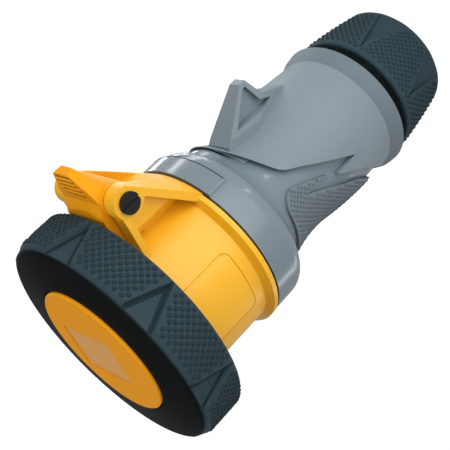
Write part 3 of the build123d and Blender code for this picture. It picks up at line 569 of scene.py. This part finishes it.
def addFloor(values):
    # Matt white paper: to the camera it is mostly its own white, and the rest keeps the soft shadow.
    # Mirrored in the gloss it is a mid grey, which leaves the plastics their colour.
    bm = bmesh.new()
    bmesh.ops.create_grid(bm, x_segments=1, y_segments=1, size=values["size"])
    bmesh.ops.translate(bm, vec=(0, 0, -values["drop"]), verts=bm.verts)
    data = bpy.data.meshes.new("studioFloor")
    bm.to_mesh(data)
    bm.free()
    floor = bpy.data.objects.new("studioFloor", data)
    bpy.context.scene.collection.objects.link(floor)
    material, tree = newMaterial("whitePaper")
    light = addNode(tree, "ShaderNodeLightPath")
    seen = addNode(tree, "ShaderNodeMath", {"operation": "MAXIMUM"},
                   {0: light.outputs["Is Camera Ray"], 1: light.outputs["Is Transmission Ray"]})
    direct = addNode(tree, "ShaderNodeMath", {"operation": "MULTIPLY"},
                     {0: seen.outputs[0], 1: values["glow"]})
    share = addNode(tree, "ShaderNodeMath", {"operation": "MAXIMUM"},
                    {0: direct.outputs[0], 1: light.outputs["Is Glossy Ray"]})
    level = addNode(tree, "ShaderNodeMapRange", None,
                    {"Value": light.outputs["Is Glossy Ray"], "To Min": values["paperWhite"],
                     "To Max": values["mirrored"]})
    paper = addNode(tree, "ShaderNodeBsdfDiffuse", None, {"Color": hexColour(values["colour"])})
    glow = addNode(tree, "ShaderNodeEmission", None, {"Color": white, "Strength": level.outputs["Result"]})
    both = addNode(tree, "ShaderNodeMixShader", None,
                   {0: share.outputs[0], 1: paper.outputs[0], 2: glow.outputs[0]})
    addNode(tree, "ShaderNodeOutputMaterial", None, {"Surface": both.outputs[0]})
    data.materials.append(material)

world = {"diffuse": 0.52, "glossy": 0.85, "overhead": 0.85, "overheadGloss": 0.03, "sideBelow": 0.1,
         "darkAbove": 0.8, "glossBelow": 0.0, "glossAbove": 0.3}

def addWorld(values):
    # The room lights evenly, but its mirror image is bright only near the floor, and to the camera
    # it is plain white
    item = bpy.data.worlds.new("studio")
    item.use_nodes = True
    tree = item.node_tree
    tree.nodes.clear()
    way = addNode(tree, "ShaderNodeSeparateXYZ", None,
                  {"Vector": addNode(tree, "ShaderNodeTexCoord").outputs["Generated"]})
    fade = addNode(tree, "ShaderNodeMapRange", {"interpolation_type": "SMOOTHSTEP"},
                   {"Value": way.outputs["Z"], "From Min": values["sideBelow"],
                    "From Max": values["darkAbove"], "To Min": values["diffuse"],
                    "To Max": values["diffuse"] * values["overhead"]})
    mirrored = addNode(tree, "ShaderNodeMapRange", {"interpolation_type": "SMOOTHSTEP"},
                       {"Value": way.outputs["Z"], "From Min": values["glossBelow"],
                        "From Max": values["glossAbove"], "To Min": values["glossy"],
                        "To Max": values["overheadGloss"]})
    light = addNode(tree, "ShaderNodeLightPath")
    room = addNode(tree, "ShaderNodeMapRange", None,
                   {"Value": light.outputs["Is Glossy Ray"], "To Min": fade.outputs["Result"],
                    "To Max": mirrored.outputs["Result"]})
    seen = addNode(tree, "ShaderNodeMath", {"operation": "MAXIMUM"},
                   {0: light.outputs["Is Camera Ray"], 1: light.outputs["Is Transmission Ray"]})
    strength = addNode(tree, "ShaderNodeMapRange", None,
                       {"Value": seen.outputs[0], "To Min": room.outputs[0], "To Max": 1.0})
    sky = addNode(tree, "ShaderNodeBackground", None,
                  {"Color": white, "Strength": strength.outputs["Result"]})
    addNode(tree, "ShaderNodeOutputWorld", None, {"Surface": sky.outputs[0]})
    bpy.context.scene.world = item

def addStrip(name, values):
    # Narrow soft box beside the object; its reflection draws a streak along the glossy shell
    data = bpy.data.lights.new(name, "AREA")
    data.shape = "RECTANGLE"
    data.size = values["width"]
    data.size_y = values["height"]
    data.energy = values["power"]
    item = bpy.data.objects.new(name, data)
    item.location = Vector(values["place"])
    towards = Vector(values["towards"]) - item.location
    item.rotation_euler = towards.to_track_quat("-Z", "Y").to_euler()
    item.visible_camera = False
    bpy.context.scene.collection.objects.link(item)

def addSun(name, values):
    data = bpy.data.lights.new(name, "SUN")
    data.energy = values["strength"]
    data.angle = values["angle"]
    item = bpy.data.objects.new(name, data)
    item.rotation_euler = Vector(values["from"]).to_track_quat("Z", "Y").to_euler()
    bpy.context.scene.collection.objects.link(item)

# Where a sun's light comes from, its strength, and its width in radians
suns = {
    "keySun": {"from": (0.88, -0.20, 0.20), "strength": 1.15, "angle": 0.7},
    "fillSun": {"from": (0.20, -0.96, 0.05), "strength": 0.85, "angle": 0.9},
    "topSun": {"from": (0.05, 0.0, 1.0), "strength": 0.85, "angle": 0.3},
}
# Each strip's place, the point that it faces, its size and its power in watts
strips = {
    "neckStrip": {"place": (0.084, -0.076, 0.006), "towards": (0.02, -0.02, 0.12), "width": 0.008,
                  "height": 0.12, "power": 0.03},
    "neckStripLeft": {"place": (0.07, 0.083, 0.004), "towards": (0.03, -0.005, 0.115), "width": 0.008,
                      "height": 0.07, "power": 0.03},
    "slideStrip": {"place": (0.14, 0.12, 0.045), "towards": (0.04, 0.0, 0.134), "width": 0.012,
                   "height": 0.10, "power": 0.06},
    "slideStripLeft": {"place": (0.045, 0.17, 0.05), "towards": (0.03, 0.02, 0.134), "width": 0.01,
                       "height": 0.10, "power": 0.05},
    "backStrip": {"place": (-0.16, -0.075, 0.03), "towards": (0, 0, 0.1), "width": 0.02,
                  "height": 0.10, "power": 0.03},
    "collarBox": {"place": (0.15, -0.18, 0.075), "towards": (0.03, -0.02, 0.165), "width": 0.28,
                  "height": 0.09, "power": 0.2},
}

addFloor(stage)
addWorld(world)
for lightName, lightValues in suns.items():
    addSun(lightName, lightValues)
for lightName, lightValues in strips.items():
    addStrip(lightName, lightValues)
bpy.context.scene.view_settings.view_transform = "Standard"
print("stage and light set")
